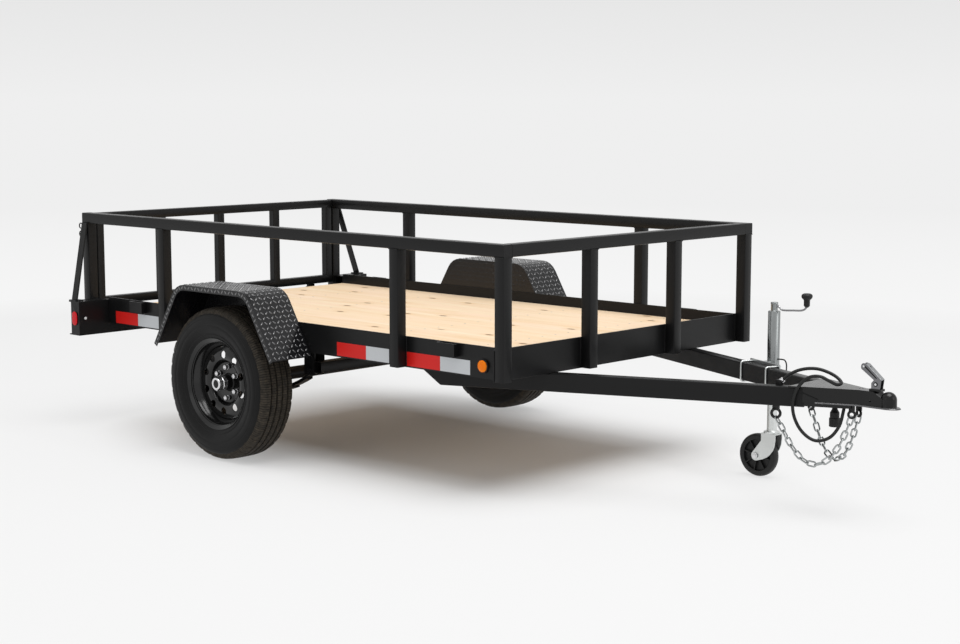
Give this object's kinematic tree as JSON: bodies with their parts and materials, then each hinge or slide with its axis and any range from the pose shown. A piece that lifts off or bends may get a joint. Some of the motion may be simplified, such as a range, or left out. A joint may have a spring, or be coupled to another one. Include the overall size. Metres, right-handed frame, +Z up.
{
  "type": "single axle utility trailer",
  "caption": "Low open trailer with a wooden deck, tubular side rails, a drop-down tailgate, an A-frame tongue with a ball coupler and a jack with a caster wheel.",
  "frame": {"origin": "on the ground, under the middle of the whole trailer", "axes": "+X forward to the coupler, +Y to the left side, +Z up"},
  "size_m": [4.124, 2.026, 1.05],
  "materials": {
    "black_paint": "satin black paint",
    "tread_plate": "black painted tread plate",
    "deck_wood": "pale planed softwood",
    "tyre_rubber": "matt black",
    "zinc_plate": "bright zinc plate",
    "black_plastic": "moulded black plastic",
    "red_lens": "clear red lens",
    "cable_rubber": "black jacket"
  },
  "bodies": {
    "chassis": {"side_rail_left": "black_paint", "top_rail_left": "black_paint", "rear_post_left": "black_paint", "side_post_1_left": "black_paint", "side_post_2_left": "black_paint", "corner_post_left": "black_paint", "front_post_left": "black_paint", "rear_brace_left": "black_paint", "leaf_spring_left": "black_paint", "tongue_beam_left": "black_paint", "fender_left": "tread_plate", "safety_chain_left": "zinc_plate", "tail_lamp_left": "red_lens", "gate_latch_left": "black_plastic", "side_rail_right": "black_paint", "top_rail_right": "black_paint", "rear_post_right": "black_paint", "side_post_1_right": "black_paint", "side_post_2_right": "black_paint", "corner_post_right": "black_paint", "front_post_right": "black_paint", "rear_brace_right": "black_paint", "leaf_spring_right": "black_paint", "tongue_beam_right": "black_paint", "fender_right": "tread_plate", "safety_chain_right": "zinc_plate", "tail_lamp_right": "red_lens", "gate_latch_right": "black_plastic", "front_rail": "black_paint", "crossmember_1": "black_paint", "crossmember_2": "black_paint", "crossmember_3": "black_paint", "crossmember_4": "black_paint", "rear_bumper": "black_paint", "top_rail_front": "black_paint", "axle": "black_paint", "spring_crossbrace": "black_paint", "coupler": "black_paint", "deck": "deck_wood", "coupler_latch": "zinc_plate", "jack_bracket": "zinc_plate", "wiring_plug": "black_plastic", "wiring_cable": "cable_rubber"},
    "wheel_left": {"tyre_left": "tyre_rubber", "rim_left": "black_paint", "hub_left": "zinc_plate"},
    "wheel_right": {"tyre_right": "tyre_rubber", "rim_right": "black_paint", "hub_right": "zinc_plate"},
    "tailgate": {"gate_frame": "black_paint"},
    "jack": {"jack_tube": "zinc_plate", "jack_crank": "black_plastic"},
    "jack_leg": {"jack_leg": "zinc_plate"},
    "caster": {"caster_fork": "zinc_plate"},
    "caster_wheel": {"caster_wheel": "black_plastic"}
  },
  "joints": [
    {"name": "wheel_left_spin", "type": "hinge", "parent": "chassis", "child": "wheel_left", "pos_m": [-0.805, 0.905, 0.344], "axis": [0, 1, 0], "continuous": true},
    {"name": "wheel_right_spin", "type": "hinge", "parent": "chassis", "child": "wheel_right", "pos_m": [-0.805, -0.905, 0.344], "axis": [0, 1, 0], "continuous": true},
    {"name": "tailgate_hinge", "type": "hinge", "parent": "chassis", "child": "tailgate", "pos_m": [-2.018, 0, 0.56], "axis": [0, -1, 0], "range_deg": [0, 180]},
    {"name": "jack_swing", "type": "hinge", "parent": "chassis", "child": "jack", "pos_m": [1.227, 0.39686, 0.466], "axis": [0.3857, 0.9226, 0], "range_deg": [0, 90]},
    {"name": "jack_lift", "type": "slide", "parent": "jack", "child": "jack_leg", "axis": [0, 0, 1], "range_m": [-0.03, 0.17]},
    {"name": "caster_swivel", "type": "hinge", "parent": "jack_leg", "child": "caster", "pos_m": [1.227, 0.39686, 0.19], "axis": [0, 0, 1], "continuous": true},
    {"name": "caster_wheel_spin", "type": "hinge", "parent": "caster", "child": "caster_wheel", "pos_m": [1.165, 0.39686, 0.093], "axis": [0, 1, 0], "continuous": true}
  ]
}
